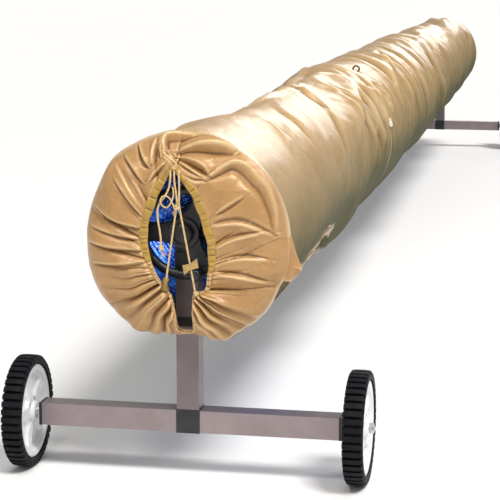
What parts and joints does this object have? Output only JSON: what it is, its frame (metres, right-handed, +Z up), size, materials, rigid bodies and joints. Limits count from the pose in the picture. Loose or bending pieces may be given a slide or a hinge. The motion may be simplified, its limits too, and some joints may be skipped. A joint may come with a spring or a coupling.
{
  "type": "pool cover reel",
  "caption": "Long pool cover reel on two wheeled T-stands, its rolled solar blanket under a shiny fabric storage cover with drawcord ends.",
  "frame": {"origin": "on the ground below the middle of the roller", "axes": "+Y along the roller away from the hand wheel, +Z up, +X to the right seen from the hand wheel end"},
  "size_m": [0.6626, 5.405, 0.62],
  "materials": {
    "stand_paint": "warm grey satin anodised square tube",
    "black_plastic": "fine-grained black moulded plastic",
    "white_plastic": "smooth white nylon",
    "white_hub": "semi-gloss white moulded plastic",
    "tyre": "black moulded tread with a soft sheen",
    "zinc_steel": "zinc-plated",
    "aluminium": "mill-finish extruded tube",
    "blanket": "translucent-looking glossy blue bubble film",
    "hand_wheel_plastic": "black moulded plastic",
    "cover_fabric": "coated tan-gold fabric with a strong sheen",
    "webbing": "woven webbing",
    "buckle": "cream moulded plastic",
    "cord": "braided cord",
    "toggle_tab": "folded webbing tab"
  },
  "bodies": {
    "stands_and_cover": {"cover_barrel": "cover_fabric", "drawcord_left": "cord", "drawcord_right": "cord", "drawcord_tail": "cord", "front_axle_bolt_left": "zinc_steel", "front_axle_bolt_right": "zinc_steel", "front_axle_nut_left": "zinc_steel", "front_axle_nut_right": "zinc_steel", "front_bearing_block": "black_plastic", "front_bearing_bush": "white_plastic", "front_cover_panel": "cover_fabric", "front_end_cap_left": "black_plastic", "front_end_cap_right": "black_plastic", "front_foot_tube_left": "stand_paint", "front_foot_tube_right": "stand_paint", "front_post": "stand_paint", "front_tee_connector": "black_plastic", "rear_axle_bolt_left": "zinc_steel", "rear_axle_bolt_right": "zinc_steel", "rear_axle_nut_left": "zinc_steel", "rear_axle_nut_right": "zinc_steel", "rear_bearing_block": "black_plastic", "rear_bearing_bush": "white_plastic", "rear_cover_panel": "cover_fabric", "rear_end_cap_left": "black_plastic", "rear_end_cap_right": "black_plastic", "rear_foot_tube_left": "stand_paint", "rear_foot_tube_right": "stand_paint", "rear_post": "stand_paint", "rear_tee_connector": "black_plastic", "underside_strap_1": "webbing", "underside_strap_2": "webbing", "underside_strap_3": "webbing", "underside_strap_4": "webbing"},
    "reel": {"front_tube_plug": "black_plastic", "rear_tube_plug": "black_plastic", "front_stub_shaft": "zinc_steel", "rear_stub_shaft": "zinc_steel", "roller_tube_front": "aluminium", "roller_tube_middle": "aluminium", "roller_tube_rear": "aluminium", "solar_blanket_roll": "blanket", "hand_wheel": "hand_wheel_plastic", "hand_wheel_nut": "hand_wheel_plastic", "knob_screw": "hand_wheel_plastic", "rear_shaft_collar": "hand_wheel_plastic"},
    "spinner_knob": {"hand_wheel_knob": "hand_wheel_plastic"},
    "front_wheel_left": {"front_wheel_left_hub": "white_hub", "front_wheel_left_tyre": "tyre"},
    "front_wheel_right": {"front_wheel_right_hub": "white_hub", "front_wheel_right_tyre": "tyre"},
    "rear_wheel_left": {"rear_wheel_left_hub": "white_hub", "rear_wheel_left_tyre": "tyre"},
    "rear_wheel_right": {"rear_wheel_right_hub": "white_hub", "rear_wheel_right_tyre": "tyre"},
    "slider_1": {"strap_slider_1": "buckle"},
    "slider_2": {"strap_slider_2": "buckle"},
    "slider_3": {"strap_slider_3": "buckle"},
    "slider_4": {"strap_slider_4": "buckle"},
    "cord_toggle": {"drawcord_toggle": "toggle_tab"}
  },
  "joints": [
    {"name": "reel_spin", "type": "hinge", "parent": "stands_and_cover", "child": "reel", "pos_m": [0, 0, 0.444], "axis": [0, 1, 0], "continuous": true},
    {"name": "knob_spin", "type": "hinge", "parent": "reel", "child": "spinner_knob", "pos_m": [0.02531, -2.6355, 0.37446], "axis": [0, 1, 0], "continuous": true},
    {"name": "front_wheel_left_spin", "type": "hinge", "parent": "stands_and_cover", "child": "front_wheel_left", "pos_m": [-0.3035, -2.6, 0.1016], "axis": [1, 0, 0], "continuous": true},
    {"name": "front_wheel_right_spin", "type": "hinge", "parent": "stands_and_cover", "child": "front_wheel_right", "pos_m": [0.3035, -2.6, 0.1016], "axis": [1, 0, 0], "continuous": true},
    {"name": "rear_wheel_left_spin", "type": "hinge", "parent": "stands_and_cover", "child": "rear_wheel_left", "pos_m": [-0.3035, 2.6, 0.1016], "axis": [1, 0, 0], "continuous": true},
    {"name": "rear_wheel_right_spin", "type": "hinge", "parent": "stands_and_cover", "child": "rear_wheel_right", "pos_m": [0.3035, 2.6, 0.1016], "axis": [1, 0, 0], "continuous": true},
    {"name": "slider_1_travel", "type": "hinge", "parent": "stands_and_cover", "child": "slider_1", "pos_m": [0, -2.12, 0.43445], "axis": [0, -1, 0], "range_deg": [-9, 9]},
    {"name": "slider_2_travel", "type": "hinge", "parent": "stands_and_cover", "child": "slider_2", "pos_m": [0, -1.08, 0.43128], "axis": [0, -1, 0], "range_deg": [-9, 9]},
    {"name": "slider_3_travel", "type": "hinge", "parent": "stands_and_cover", "child": "slider_3", "pos_m": [0, 0.56, 0.4297], "axis": [0, -1, 0], "range_deg": [-9, 9]},
    {"name": "slider_4_travel", "type": "hinge", "parent": "stands_and_cover", "child": "slider_4", "pos_m": [0, 1.9, 0.43378], "axis": [0, -1, 0], "range_deg": [-9, 9]},
    {"name": "toggle_travel", "type": "slide", "parent": "stands_and_cover", "child": "cord_toggle", "axis": [-0.1786, 0, 0.9839], "range_m": [-0.018, 0.05]}
  ]
}
